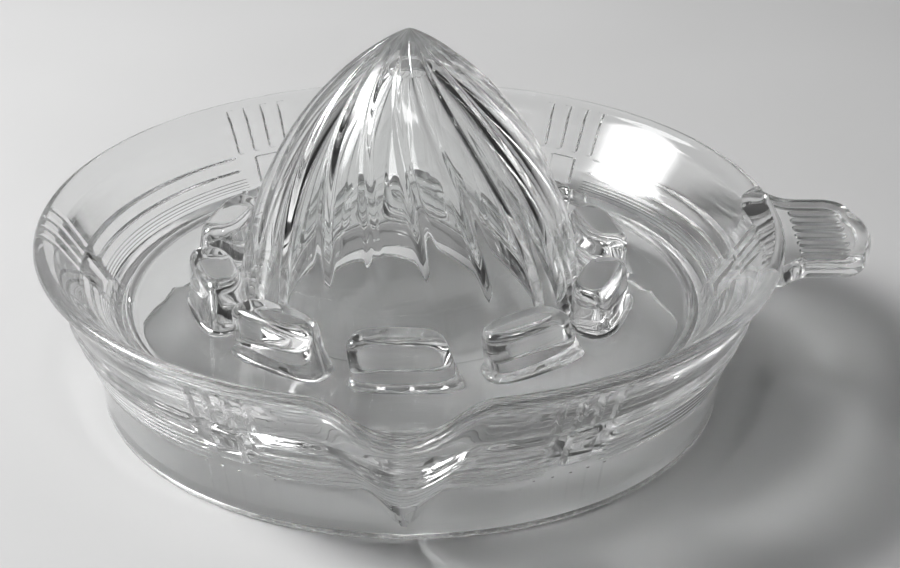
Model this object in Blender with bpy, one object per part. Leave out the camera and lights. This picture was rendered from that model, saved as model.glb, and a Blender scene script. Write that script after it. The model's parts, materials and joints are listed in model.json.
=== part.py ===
"""Pressed-glass citrus reamer: a footed dish with a pouring lip and a tab handle, a fluted
hollow cone in its middle, and a ring of seed lugs around the cone.

The real thing is one pressing. Its forms are modelled as separate solids that meet face to face
on the dish floor, or with SEAT_GAP between them at the rim, so each form can be read and reused.
Metres, +Z up. The origin is under the middle of the object's box, on the table.
"""
import math

import bmesh
import bpy

# The dish: a skirt that stands on its foot, a banded flare, and a thick rounded rim.
FOOT_RADIUS = 0.0652
FOOT_THICKNESS = 0.0044
FOOT_EDGE = 0.0006
SKIRT_HEIGHT = 0.0126
SKIRT_LEAN = 0.0021
FLOOR_HEIGHT = 0.0215
FLOOR_THICKNESS = 0.0050
WALL_THICKNESS = 0.0044
RIM_RADIUS = 0.0774
RIM_HEIGHT = 0.0362
RIM_BEAD_HEIGHT = 0.0024
RIM_BEAD_LEAN = 0.0020
RIM_ROUNDING = 0.0014
RIM_INNER_ROUNDING = 0.0020
TROUGH_RADIUS = 0.0585
TROUGH_FILLET = 0.0080
TROUGH_SLOPE = math.radians(50)
UNDER_FILLET = 0.0035

# The bands: fine beads around the flare above the skirt and bold ones over them. They stop
# short of each panel.
FINE_BEAD_COUNT = 4
FINE_BEAD_PITCH = 0.00125
FINE_BEAD_RELIEF = 0.0004
BOLD_BEAD_COUNT = 2
BOLD_BEAD_PITCH = 0.0032
BOLD_BEAD_RELIEF = 0.0007
BAND_GAP_HALF_ANGLE = math.radians(5.2)
BAND_END_ANGLE = math.radians(0.6)

# The ornament: groups of upright ribs under the rim, each over a plain raised panel. The two
# groups beside the lip stand a little closer to it, and the ribs under the handle are shorter.
ORNAMENT_COUNT = 6
ORNAMENT_LIP_SHIFT = math.radians(2.2)
RIBS_PER_GROUP = 4
RIB_PITCH = math.radians(3.3)
RIB_WIDTH = 0.0020
RIB_RELIEF = 0.0006
RIB_BOTTOM_GAP = 0.0024
RIB_TOP_GAP = 0.0002
RIB_HANDLE_GAP = 0.0009
PANEL_WIDTH = 0.0069
PANEL_RELIEF = 0.0010
PANEL_BOTTOM_GAP = 0.0020
PANEL_TOP_GAP = 0.0007
ORNAMENT_SINK = 0.0006

# The pouring lip: the rim, wall and bands bulge outwards over a keel that fades into the skirt.
SPOUT_AZIMUTH = math.radians(-90)
SPOUT_HALF_ANGLE = math.radians(13)
SPOUT_PUSH = 0.0094
SPOUT_DIP = 0.0016
KEEL_HEIGHT = 0.0040
KEEL_WIDTH_SHARE = 0.35

# The cone: an ogive of flutes that turn slightly as they climb, hollow from below.
CONE_RADIUS = 0.0358
CONE_TIP_HEIGHT = 0.0782
CONE_LEAN = math.radians(4)
CONE_TIP_RADIUS = 0.0014
FLUTE_COUNT = 18
FLUTE_FADE = 0.0080
FLUTE_PHASE = math.radians(-78)
FLUTE_TWIST = math.radians(-33)
RIDGE_HEIGHT = 0.00035
RIDGE_SHARE = 0.36
CAVITY_RADIUS = 0.0305
CAVITY_LEAN = math.radians(3)
CAVITY_HEADROOM = 0.0087
CAVITY_TOP_RADIUS = 0.0020

# The seed lugs: rounded blocks around the cone's foot, steeper on one flank than on the other.
LUG_COUNT = 10
LUG_AZIMUTH = math.radians(-90)
LUG_CLEARANCE = 0.0007
LUG_DEPTH = 0.0110
LUG_HEIGHT = 0.0096
LUG_HALF_ANGLE = math.radians(14.2)
LUG_TOP_HALF_ANGLE = math.radians(12.0)
LUG_TOP_SHIFT = math.radians(-2.8)
LUG_DRAFT = 0.0010
LUG_ROUNDING = 0.0034
LUG_SQUARENESS = 3.6

# The handle: a flat tab level with the rim, with grip ribs pressed into its underside.
HANDLE_REACH = 0.0957
HANDLE_WIDTH = 0.0308
HANDLE_THICKNESS = 0.0046
HANDLE_DROP = 0.0014
HANDLE_CORNER = 0.0065
HANDLE_CROWN = 0.0022
HANDLE_BEVEL = 0.0009
GRIP_COUNT = 7
GRIP_PITCH = 0.0036
GRIP_RADIUS = 0.0011
GRIP_MARGIN = 0.0025
GRIP_SINK = 0.0004
SEAT_GAP = 0.0003

# How finely the round forms are faceted.
DISH_STEPS = 64
CONE_LEVELS = 13
LUG_POINTS = 24

FINE_BEAD_TOP = SKIRT_HEIGHT + FINE_BEAD_COUNT * FINE_BEAD_PITCH
BAND_TOP = FINE_BEAD_TOP + BOLD_BEAD_COUNT * BOLD_BEAD_PITCH
RIM_BEAD_BOTTOM = RIM_HEIGHT - RIM_BEAD_HEIGHT
AXIS_X = (RIM_RADIUS - HANDLE_REACH) / 2
AXIS_Y = SPOUT_PUSH / 2


def clamp(value, low=0.0, high=1.0):
    """Keeps a value between two limits."""
    return max(low, min(high, value))


def smoothstep(value):
    """Eases a share from 0 to 1 with level ends."""
    share = clamp(value)
    return share * share * (3 - 2 * share)


def glass(name, tint):
    """Clear colourless pressed glass."""
    material = bpy.data.materials.new(name)
    material.use_nodes = True
    shader = material.node_tree.nodes["Principled BSDF"]
    shader.inputs["Base Color"].default_value = (*tint, 1.0)
    shader.inputs["Roughness"].default_value = 0.02
    shader.inputs["Metallic"].default_value = 0.0
    shader.inputs["IOR"].default_value = 1.51
    shader.inputs["Transmission Weight"].default_value = 1.0
    return material


def solid(name, points, faces, material, parent):
    """Makes one closed solid from points and faces, shaded smooth between its sharp edges."""
    mesh = bpy.data.meshes.new(name)
    mesh.from_pydata(points, [], faces)
    build = bmesh.new()
    build.from_mesh(mesh)
    bmesh.ops.recalc_face_normals(build, faces=build.faces)
    build.to_mesh(mesh)
    build.free()
    mesh.shade_smooth()
    mesh.set_sharp_from_angle(angle=math.radians(30))
    item = bpy.data.objects.new(name, mesh)
    bpy.context.scene.collection.objects.link(item)
    item.data.materials.append(material)
    item.parent = parent
    return item


def ogive(base_radius, base_height, tip_height, lean):
    """Gives the radius at any height of an arc that starts at the base and ends on the axis."""
    rise = tip_height - base_height
    bow = 2 * (base_radius * math.cos(lean) - rise * math.sin(lean))
    arc = (base_radius ** 2 + rise ** 2) / bow
    centre_radius = base_radius - arc * math.cos(lean)
    centre_height = base_height - arc * math.sin(lean)

    def radius(height):
        return centre_radius + math.sqrt(max(arc ** 2 - (height - centre_height) ** 2, 0.0))

    return radius


def flare_radius(height):
    """The dish's outside radius between the top of the skirt and the rim bead."""
    skirt_top = FOOT_RADIUS + SKIRT_LEAN
    share = (height - SKIRT_HEIGHT) / (RIM_BEAD_BOTTOM - SKIRT_HEIGHT)
    return skirt_top + share * (RIM_RADIUS - RIM_BEAD_LEAN - skirt_top)


def outside_outline():
    """The dish's outside from the foot to the rim's widest line, as (radius, height)."""
    points = [(FOOT_RADIUS - FOOT_EDGE, 0.0), (FOOT_RADIUS, FOOT_EDGE)]
    points.append((FOOT_RADIUS + SKIRT_LEAN * 0.45, SKIRT_HEIGHT * 0.65))
    low = SKIRT_HEIGHT
    beads = [(FINE_BEAD_PITCH, FINE_BEAD_RELIEF)] * FINE_BEAD_COUNT
    beads += [(BOLD_BEAD_PITCH, BOLD_BEAD_RELIEF)] * BOLD_BEAD_COUNT
    for pitch, relief in beads:
        points.append((flare_radius(low), low))
        for share in (0.3, 0.7):
            height = low + share * pitch
            points.append((flare_radius(height) + relief, height))
        low += pitch
    points.append((flare_radius(BAND_TOP), BAND_TOP))
    points.append((flare_radius(RIM_BEAD_BOTTOM), RIM_BEAD_BOTTOM))
    points.append((RIM_RADIUS - RIM_BEAD_LEAN * 0.35, RIM_BEAD_BOTTOM + RIM_BEAD_HEIGHT * 0.25))
    points.append((RIM_RADIUS, RIM_HEIGHT - RIM_ROUNDING))
    return points


def rim_outline():
    """The rounded top of the rim, from its outer to its inner side."""
    points = []
    half = WALL_THICKNESS / 2
    for step in range(1, 6):
        turn = math.pi * step / 6
        drop = RIM_ROUNDING if step < 4 else RIM_INNER_ROUNDING
        height = RIM_HEIGHT - drop * (1 - math.sin(turn))
        points.append((RIM_RADIUS - half + half * math.cos(turn), height))
    return points


def inside_outline():
    """The dish's inside from the rim down the flare, through the trough's fillet to the floor."""
    rim_inner = RIM_RADIUS - WALL_THICKNESS
    points = [(rim_inner, RIM_HEIGHT - RIM_INNER_ROUNDING)]
    for step in range(4, -1, -1):
        turn = TROUGH_SLOPE * step / 4
        radius = TROUGH_RADIUS + TROUGH_FILLET * math.sin(turn)
        points.append((radius, FLOOR_HEIGHT + TROUGH_FILLET * (1 - math.cos(turn))))
    return points


def underside_outline():
    """The hollow under the dish, from the hole below the cone out and down to the foot."""
    under = FLOOR_HEIGHT - FLOOR_THICKNESS
    inner = FOOT_RADIUS - FOOT_THICKNESS
    points = [(CAVITY_RADIUS, FLOOR_HEIGHT), (CAVITY_RADIUS, under)]
    for step in range(3):
        turn = math.pi / 2 * step / 2
        inset = UNDER_FILLET * (1 - math.sin(turn))
        points.append((inner - inset, under - UNDER_FILLET * (1 - math.cos(turn))))
    points.append((inner, 0.0))
    return points


def spout_share(azimuth, height):
    """How much of the lip's bulge is felt at a place on the dish, from 0 to 1."""
    climb = clamp((height - KEEL_HEIGHT) / (BAND_TOP - KEEL_HEIGHT))
    half = SPOUT_HALF_ANGLE * (KEEL_WIDTH_SHARE + (1 - KEEL_WIDTH_SHARE) * climb)
    away = abs(math.remainder(azimuth - SPOUT_AZIMUTH, math.tau))
    if away >= half:
        return 0.0
    return math.sqrt(climb) * math.cos(math.pi / 2 * away / half) ** 2


def ornament_azimuths():
    """Azimuths of the rib groups and their panels."""
    azimuths = []
    for group in range(ORNAMENT_COUNT):
        middle = math.tau * group / ORNAMENT_COUNT
        away = math.remainder(middle - SPOUT_AZIMUTH, math.tau)
        if abs(away) < math.tau / ORNAMENT_COUNT:
            middle -= math.copysign(ORNAMENT_LIP_SHIFT, away)
        azimuths.append(middle)
    return azimuths


def band_share(azimuth):
    """How much of the bands' relief is felt at an azimuth: none in the gap around a panel."""
    away = min(abs(math.remainder(azimuth - middle, math.tau)) for middle in ornament_azimuths())
    return clamp((away - BAND_GAP_HALF_ANGLE) / BAND_END_ANGLE)


def dish_point(radius, height, azimuth, inside):
    """Moves a point of the dish's outline where a gap in the bands or the pouring lip is."""
    if not inside and SKIRT_HEIGHT < height < BAND_TOP:
        plain = flare_radius(height)
        radius = plain + (radius - plain) * band_share(azimuth)
    share = spout_share(azimuth, height)
    if inside:
        share *= smoothstep(1.5 * (height - FLOOR_HEIGHT) / (RIM_HEIGHT - FLOOR_HEIGHT))
    dip = SPOUT_DIP * share * clamp((height - BAND_TOP) / (RIM_HEIGHT - BAND_TOP))
    return radius + SPOUT_PUSH * share, height - dip


def dish_azimuths():
    """Azimuths around the dish: at the ends of the bands and of the lip, and evenly between."""
    marks = [SPOUT_AZIMUTH + turn for turn in (-SPOUT_HALF_ANGLE, 0.0, SPOUT_HALF_ANGLE, math.pi)]
    for middle in ornament_azimuths():
        for away in (BAND_GAP_HALF_ANGLE, BAND_GAP_HALF_ANGLE + BAND_END_ANGLE):
            marks += [middle - away, middle + away]
    marks = sorted(mark % math.tau for mark in marks)
    azimuths = []
    for start, end in zip(marks, marks[1:] + [marks[0] + math.tau]):
        aside = abs(math.remainder((start + end) / 2 - SPOUT_AZIMUTH, math.tau))
        step = math.tau / DISH_STEPS * (0.5 if aside < SPOUT_HALF_ANGLE else 1.0)
        count = max(1, math.ceil((end - start) / step))
        azimuths += [start + (end - start) * index / count for index in range(count)]
    return azimuths


def turned(outline, azimuths, shape):
    """Points and faces of an outline carried around the axis, closed both ways."""
    points = []
    for azimuth in azimuths:
        for radius, height, inside in outline:
            wide, high = shape(radius, height, azimuth, inside)
            points.append((wide * math.cos(azimuth), wide * math.sin(azimuth), high))
    rows = len(outline)
    faces = []
    for column in range(len(azimuths)):
        following = (column + 1) % len(azimuths)
        for row in range(rows):
            above = (row + 1) % rows
            here, there = column * rows, following * rows
            faces.append((here + row, there + row, there + above, here + above))
    return points, faces


def hide_cutter(item):
    """Marks a shape that only cuts or joins others."""
    item.hide_render = True
    item.display_type = "WIRE"


def upright_bar(azimuth, width, relief, low, high):
    """A bar up the flare with bevelled sides: corner points around its foot and then its top."""
    points = []
    for height in (low, high):
        wall = flare_radius(height)
        section = ((-ORNAMENT_SINK, -width / 2), (relief, relief / 2 - width / 2))
        section += ((relief, width / 2 - relief / 2), (-ORNAMENT_SINK, width / 2))
        for out, across in section:
            x, y = wall + out, across
            points.append((
                x * math.cos(azimuth) - y * math.sin(azimuth),
                x * math.sin(azimuth) + y * math.cos(azimuth),
                height,
            ))
    return points


def make_ornament(material, parent):
    """The rib groups and the panels below them, as separate closed bars in one mesh."""
    bars = []
    panel_low, panel_high = SKIRT_HEIGHT + PANEL_BOTTOM_GAP, BAND_TOP - PANEL_TOP_GAP
    rib_low, rib_high = BAND_TOP + RIB_BOTTOM_GAP, RIM_BEAD_BOTTOM - RIB_TOP_GAP
    under_handle = RIM_HEIGHT - HANDLE_DROP - HANDLE_THICKNESS - RIB_HANDLE_GAP
    for middle in ornament_azimuths():
        bars.append(upright_bar(middle, PANEL_WIDTH, PANEL_RELIEF, panel_low, panel_high))
        at_handle = RIM_RADIUS * abs(math.remainder(middle, math.tau)) < HANDLE_WIDTH
        top = min(rib_high, under_handle) if at_handle else rib_high
        for rib in range(RIBS_PER_GROUP):
            azimuth = middle + (rib - (RIBS_PER_GROUP - 1) / 2) * RIB_PITCH
            bars.append(upright_bar(azimuth, RIB_WIDTH, RIB_RELIEF, rib_low, top))
    points, faces = [], []
    for bar in bars:
        base = len(points)
        points += bar
        corners = [(3, 2, 1, 0), (4, 5, 6, 7)]
        corners += [(side, (side + 1) % 4, (side + 1) % 4 + 4, side + 4) for side in range(4)]
        faces += [tuple(base + corner for corner in face) for face in corners]
    ornament = solid("ornament", points, faces, material, parent)
    hide_cutter(ornament)
    return ornament


def make_bowl(material, parent):
    """The dish with its foot, bands, rim and pouring lip, open below the cone."""
    outline = [(radius, height, False) for radius, height in outside_outline() + rim_outline()]
    outline += [(radius, height, True) for radius, height in inside_outline()]
    outline += [(radius, height, True) for radius, height in underside_outline()]
    points, faces = turned(outline, dish_azimuths(), dish_point)
    bowl = solid("bowl", points, faces, material, parent)
    join = bowl.modifiers.new("ornament", "BOOLEAN")
    join.operation = "UNION"
    join.object = make_ornament(material, parent)
    return bowl


def flute_places():
    """Places across one flute that carry points: its ridge's crest, flanks and feet, and its middle."""
    foot = RIDGE_SHARE / 2
    return [0.0, foot / 2, foot, 0.5, 1 - foot, 1 - foot / 2]


def flute_cut(place, crest):
    """How far the outside lies in from the crest's circle: a flat facet between rounded ridges."""
    across = 2 * place - 1
    half = math.pi / FLUTE_COUNT
    facet = crest * (1 - math.cos(half) / math.cos(across * half))
    aside = min((1 - abs(across)) / RIDGE_SHARE, 1.0)
    return (facet + RIDGE_HEIGHT * aside ** 2) * smoothstep(crest / FLUTE_FADE)


def cone_rings():
    """Heights and crest radii up the cone, closer together towards its tip."""
    radius = ogive(CONE_RADIUS, FLOOR_HEIGHT, CONE_TIP_HEIGHT, CONE_LEAN)
    rise = CONE_TIP_HEIGHT - FLOOR_HEIGHT
    turns = [math.pi / 2 * step / CONE_LEVELS for step in range(CONE_LEVELS)]
    heights = [FLOOR_HEIGHT + rise * math.sin(turn) for turn in turns]
    return [(height, max(radius(height), CONE_TIP_RADIUS)) for height in heights]


def cavity_rings():
    """Heights and radii of the hollow inside the cone, up to its rounded top."""
    top = CONE_TIP_HEIGHT - CAVITY_HEADROOM
    radius = ogive(CAVITY_RADIUS, FLOOR_HEIGHT, top + CAVITY_TOP_RADIUS * 0.6, CAVITY_LEAN)
    dome = top - CAVITY_TOP_RADIUS * 0.9
    rings = []
    for step in range(7):
        height = FLOOR_HEIGHT + (dome - FLOOR_HEIGHT) * math.sin(math.pi / 2 * step / 6)
        rings.append((height, radius(height)))
    edge = rings[-1][1]
    for step in (1, 2):
        turn = math.pi / 2 * step / 3
        rings.append((dome + (top - dome) * math.sin(turn), edge * math.cos(turn)))
    return rings, top


def ring_walls(first, count, levels, peak):
    """Faces between rings of points that follow each other, closed to one point at the top."""
    faces = []
    for step in range(count):
        following = (step + 1) % count
        for level in range(levels - 1):
            low, high = first + level * count, first + (level + 1) * count
            faces.append((low + step, low + following, high + following, high + step))
        last = first + (levels - 1) * count
        faces.append((last + step, last + following, peak))
    return faces


def make_cone(material, parent):
    """The fluted cone: facets between ridges outside, a smooth hollow inside, open at the bottom."""
    places = flute_places()
    count = FLUTE_COUNT * len(places)
    points = []
    faces = []
    outer = cone_rings()
    for height, crest in outer:
        climb = (height - FLOOR_HEIGHT) / (CONE_TIP_HEIGHT - FLOOR_HEIGHT)
        for flute in range(FLUTE_COUNT):
            for place in places:
                wide = crest - flute_cut(place, crest)
                turn = math.tau * (flute + place) / FLUTE_COUNT
                azimuth = turn + FLUTE_PHASE + FLUTE_TWIST * climb ** 2
                points.append((wide * math.cos(azimuth), wide * math.sin(azimuth), height))
    tip = len(points)
    points.append((0.0, 0.0, CONE_TIP_HEIGHT))
    inner, top = cavity_rings()
    first_inner = len(points)
    half = count // 2
    for height, wide in inner:
        for step in range(half):
            azimuth = math.tau * step / half + FLUTE_PHASE
            points.append((wide * math.cos(azimuth), wide * math.sin(azimuth), height))
    roof = len(points)
    points.append((0.0, 0.0, top))

    faces += ring_walls(0, count, len(outer), tip)
    faces += ring_walls(first_inner, half, len(inner), roof)
    for step in range(half):
        following = (step + 1) % half
        low = 2 * step
        faces.append((low, low + 1, (low + 2) % count, first_inner + following, first_inner + step))
    return solid("reamer_cone", points, faces, material, parent)


def lug_ring(height, inner, outer, half_angle, shift):
    """One level outline of a seed lug: straight in front and behind, with radial flanks."""
    points = []
    middle, reach = (inner + outer) / 2, (outer - inner) / 2
    power = 2 / LUG_SQUARENESS
    for step in range(LUG_POINTS):
        turn = math.tau * step / LUG_POINTS
        across = math.copysign(abs(math.cos(turn)) ** power, math.cos(turn))
        along = math.copysign(abs(math.sin(turn)) ** power, math.sin(turn))
        out = middle + reach * across
        points.append((out, out * math.tan(shift + half_angle * along), height))
    return points


def lug_levels():
    """Levels of a seed lug from the floor to its rounded top: height share, inset and lean."""
    levels = [(0.0, 0.0, 0.0)]
    shoulder = LUG_HEIGHT - LUG_ROUNDING
    levels.append((shoulder, 0.0, shoulder / LUG_HEIGHT))
    for step in (1, 2, 3):
        turn = math.pi / 2 * step / 3
        height = shoulder + LUG_ROUNDING * math.sin(turn)
        levels.append((height, LUG_ROUNDING * (1 - math.cos(turn)), height / LUG_HEIGHT))
    return levels


def lug_mesh():
    """The seed lug's mesh, lying on the +X axis around the cone."""
    inner = CONE_RADIUS + LUG_CLEARANCE
    outer = inner + LUG_DEPTH
    points = []
    for height, inset, lean in lug_levels():
        narrowing = inset / outer
        half = LUG_HALF_ANGLE + lean * (LUG_TOP_HALF_ANGLE - LUG_HALF_ANGLE) - narrowing
        points += lug_ring(
            FLOOR_HEIGHT + height,
            inner + LUG_DRAFT * lean + inset,
            outer - LUG_DRAFT * lean - inset,
            half,
            LUG_TOP_SHIFT * lean,
        )
    faces = []
    rings = len(points) // LUG_POINTS
    for ring in range(rings - 1):
        low, high = ring * LUG_POINTS, (ring + 1) * LUG_POINTS
        for step in range(LUG_POINTS):
            following = (step + 1) % LUG_POINTS
            faces.append((low + step, low + following, high + following, high + step))
    faces.append(tuple(reversed(range(LUG_POINTS))))
    faces.append(tuple(range((rings - 1) * LUG_POINTS, rings * LUG_POINTS)))
    return points, faces


def make_lugs(material, parent):
    """The ring of seed lugs: one mesh, turned to each place around the cone."""
    points, faces = lug_mesh()
    first = solid("seed_lug_01", points, faces, material, parent)
    lugs = [first]
    for number in range(2, LUG_COUNT + 1):
        lug = bpy.data.objects.new(f"seed_lug_{number:02d}", first.data)
        bpy.context.scene.collection.objects.link(lug)
        lug.parent = parent
        lugs.append(lug)
    for number, lug in enumerate(lugs):
        lug.rotation_euler.z = LUG_AZIMUTH + math.tau * number / LUG_COUNT
    return lugs


def handle_outline():
    """The tab's outline seen from above: a bowed outer edge and round corners."""
    half = HANDLE_WIDTH / 2
    points = [(RIM_RADIUS * 0.9, -half)]
    corner_x = HANDLE_REACH - HANDLE_CROWN - HANDLE_CORNER
    for step in range(5):
        turn = math.pi / 2 * (step / 4 - 1)
        side = HANDLE_CORNER - half + HANDLE_CORNER * math.sin(turn)
        points.append((corner_x + HANDLE_CORNER * math.cos(turn), side))
    straight = half - HANDLE_CORNER
    for share in (0.75, 0.4):
        points.append((HANDLE_REACH - HANDLE_CROWN * share ** 2, -straight * share))
    mirrored = [(x, -y) for x, y in reversed(points)]
    return points + [(HANDLE_REACH, 0.0)] + mirrored


def grip_bars(bottom):
    """Half-round grip ribs along the tab's underside, as points and faces of separate bars."""
    points, faces = [], []
    start = RIM_RADIUS + GRIP_MARGIN
    end = HANDLE_REACH - HANDLE_CROWN - GRIP_MARGIN
    sides = 10
    for number in range(GRIP_COUNT):
        middle = (number - (GRIP_COUNT - 1) / 2) * GRIP_PITCH
        base = len(points)
        for x in (start, end):
            for step in range(sides):
                turn = math.tau * (step + 0.5) / sides
                y = middle + GRIP_RADIUS * math.cos(turn)
                points.append((x, y, bottom + GRIP_SINK + GRIP_RADIUS * math.sin(turn)))
        for step in range(sides):
            following = (step + 1) % sides
            faces.append((base + step, base + following, base + sides + following, base + sides + step))
        faces.append(tuple(base + step for step in range(sides)))
        faces.append(tuple(base + sides + step for step in reversed(range(sides))))
    return points, faces


def rim_envelope(material, parent):
    """The space that the dish takes at the rim, with the seat gap around it."""
    outline = outside_outline()[-4:]
    levels = [(outline[0][0], BAND_TOP - RIM_BEAD_HEIGHT)] + outline[1:]
    levels.append((RIM_RADIUS, RIM_HEIGHT + RIM_BEAD_HEIGHT))
    azimuths = dish_azimuths()
    count = len(azimuths)
    points, faces = [], []
    for radius, height in levels:
        wide = radius + SEAT_GAP
        points += [(wide * math.cos(azimuth), wide * math.sin(azimuth), height) for azimuth in azimuths]
    for level in range(len(levels) - 1):
        low, high = level * count, (level + 1) * count
        for step in range(count):
            following = (step + 1) % count
            faces.append((low + step, low + following, high + following, high + step))
    faces.append(tuple(reversed(range(count))))
    faces.append(tuple(range((len(levels) - 1) * count, len(levels) * count)))
    envelope = solid("rim_envelope", points, faces, material, parent)
    hide_cutter(envelope)
    return envelope


def make_handle(material, parent):
    """The tab handle: a plate with rounded edges and grip ribs, hollowed to seat on the rim."""
    top = RIM_HEIGHT - HANDLE_DROP
    bottom = top - HANDLE_THICKNESS
    outline = handle_outline()
    count = len(outline)
    points = [(x, y, bottom) for x, y in outline] + [(x, y, top) for x, y in outline]
    faces = []
    for step in range(count):
        following = (step + 1) % count
        faces.append((step, following, count + following, count + step))
    faces.append(tuple(reversed(range(count))))
    faces.append(tuple(range(count, 2 * count)))
    handle = solid("handle_tab", points, faces, material, parent)
    edges = handle.modifiers.new("rounded_edges", "BEVEL")
    edges.width = HANDLE_BEVEL
    edges.segments = 2
    edges.limit_method = "ANGLE"
    edges.angle_limit = math.radians(60)

    bar_points, bar_faces = grip_bars(bottom)
    bars = solid("grip_bars", bar_points, bar_faces, material, parent)
    hide_cutter(bars)
    join = handle.modifiers.new("grip_ribs", "BOOLEAN")
    join.operation = "UNION"
    join.object = bars
    seat = handle.modifiers.new("rim_seat", "BOOLEAN")
    seat.operation = "DIFFERENCE"
    seat.object = rim_envelope(material, parent)
    return handle


def main():
    """Builds the reamer from its forms."""
    for item in list(bpy.data.objects):
        bpy.data.objects.remove(item, do_unlink=True)
    axis = bpy.data.objects.new("cone_axis", None)
    axis.location = (AXIS_X, AXIS_Y, 0.0)
    bpy.context.scene.collection.objects.link(axis)
    make_bowl(glass("bowl_glass", (0.93, 0.95, 0.95)), axis)
    make_cone(glass("cone_glass", (0.95, 0.96, 0.96)), axis)
    make_lugs(glass("lug_glass", (0.94, 0.95, 0.96)), axis)
    make_handle(glass("handle_glass", (0.93, 0.94, 0.95)), axis)


main()
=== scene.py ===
"""Studio scene of a clear pressed-glass citrus reamer.

The reamer is one pressing, so the scene shows one continuous body of glass in place of the solids
of the frame: a lathed dish with a pouring lip, a fluted cone, a ring of seed lugs, rib groups and
panels outside the wall, and a ribbed tab handle. Metres, +Z up; the cone's axis stands where
CONE_AXIS says in the frame's own coordinates.
"""
from __future__ import annotations

import json
import logging
import math
from dataclasses import dataclass, field
from enum import Enum
from typing import Iterable, NamedTuple, Sequence

import bmesh
import bpy
from mathutils import Matrix, Vector

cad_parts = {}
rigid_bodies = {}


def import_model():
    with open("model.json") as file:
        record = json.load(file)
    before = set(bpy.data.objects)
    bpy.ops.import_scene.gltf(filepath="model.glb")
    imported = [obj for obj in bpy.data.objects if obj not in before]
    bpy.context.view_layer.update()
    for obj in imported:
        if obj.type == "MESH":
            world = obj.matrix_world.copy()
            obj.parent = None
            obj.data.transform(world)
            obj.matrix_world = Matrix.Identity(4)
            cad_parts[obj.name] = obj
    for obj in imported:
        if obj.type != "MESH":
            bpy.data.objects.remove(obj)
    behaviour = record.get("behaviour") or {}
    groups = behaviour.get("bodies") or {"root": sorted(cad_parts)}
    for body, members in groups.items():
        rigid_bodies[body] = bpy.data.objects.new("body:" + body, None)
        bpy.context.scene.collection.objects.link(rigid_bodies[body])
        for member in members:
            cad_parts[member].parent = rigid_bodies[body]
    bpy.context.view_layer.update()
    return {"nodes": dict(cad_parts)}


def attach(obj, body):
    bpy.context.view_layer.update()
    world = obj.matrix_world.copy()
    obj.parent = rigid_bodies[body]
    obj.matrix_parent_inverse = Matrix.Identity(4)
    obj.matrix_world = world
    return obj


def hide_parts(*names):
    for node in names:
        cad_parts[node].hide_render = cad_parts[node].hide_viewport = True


LOG = logging.getLogger("citrus_reamer")

MM = 0.001
CONE_AXIS = (-0.00915, 0.0047)
QUARTER = math.pi / 2

Point = tuple[float, float, float]
Place = tuple[float, float]
Socket = bpy.types.NodeSocket
Item = bpy.types.Object
Material = bpy.types.Material
Inputs = dict[str, object]


class Reach(Enum):
    """How far a row of the dish's outline follows the pouring lip."""

    NONE = "none"
    OUTSIDE = "outside"
    INSIDE = "inside"


class Row(NamedTuple):
    """One circle of the pressing's outline before the lip and the flutes are pressed in."""

    radius: float
    height: float
    reach: Reach = Reach.NONE
    cone: float = 0.0
    relief: float = 0.0


def clamp(value: float, low: float = 0.0, high: float = 1.0) -> float:
    """Keeps a value between two limits."""
    return max(low, min(high, value))


def smoothstep(value: float) -> float:
    """Eases a share from 0 to 1 with level ends."""
    share = clamp(value)
    return share * share * (3 - 2 * share)


def arc_places(centre: Place, radius: float, start: float, end: float, count: int) -> list[Place]:
    """Places along an arc, both ends included, with angles in degrees from the first axis."""
    turns = [math.radians(start + (end - start) * step / (count - 1)) for step in range(count)]
    return [(centre[0] + radius * math.cos(a), centre[1] + radius * math.sin(a)) for a in turns]


# Mesh and node-tree helpers


def link_object(name: str, data: bpy.types.ID) -> Item:
    """Makes an object and links it to the scene.

    Args:
        name: Object name.
        data: Its mesh, camera or light.

    Returns:
        The object.
    """
    item = bpy.data.objects.new(name, data)
    bpy.context.scene.collection.objects.link(item)
    return item


def mesh_object(name: str, points: Iterable[Point], faces: Iterable[Sequence[int]]) -> Item:
    """Makes a linked mesh object whose faces all point outwards.

    Args:
        name: Object name.
        points: Vertex positions in metres.
        faces: Vertex numbers of each face.

    Returns:
        The new object, at the origin.
    """
    mesh = bpy.data.meshes.new(name)
    mesh.from_pydata(list(points), [], [tuple(face) for face in faces])
    build = bmesh.new()
    build.from_mesh(mesh)
    bmesh.ops.recalc_face_normals(build, faces=build.faces)
    build.to_mesh(mesh)
    build.free()
    return link_object(name, mesh)


def stacked(name: str, outlines: Sequence[Sequence[Point]]) -> Item:
    """Makes a closed body from outlines that have the same number of points.

    Args:
        name: Object name.
        outlines: The outlines, in order from one end of the body to the other.

    Returns:
        The body, closed by a face at each end.
    """
    count = len(outlines[0])
    last = (len(outlines) - 1) * count
    faces = [tuple(reversed(range(count)))]
    for low in range(0, last, count):
        high = low + count
        for step in range(count):
            following = (step + 1) % count
            faces.append((low + step, low + following, high + following, high + step))
    faces.append(tuple(range(last, last + count)))
    return mesh_object(name, (point for outline in outlines for point in outline), faces)


def bake_modifiers(item: Item) -> None:
    """Turns an object's evaluated shape into its own plain mesh and drops its modifiers.

    Args:
        item: The object.
    """
    graph = bpy.context.evaluated_depsgraph_get()
    mesh = bpy.data.meshes.new_from_object(item.evaluated_get(graph))
    item.modifiers.clear()
    item.data = mesh


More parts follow.
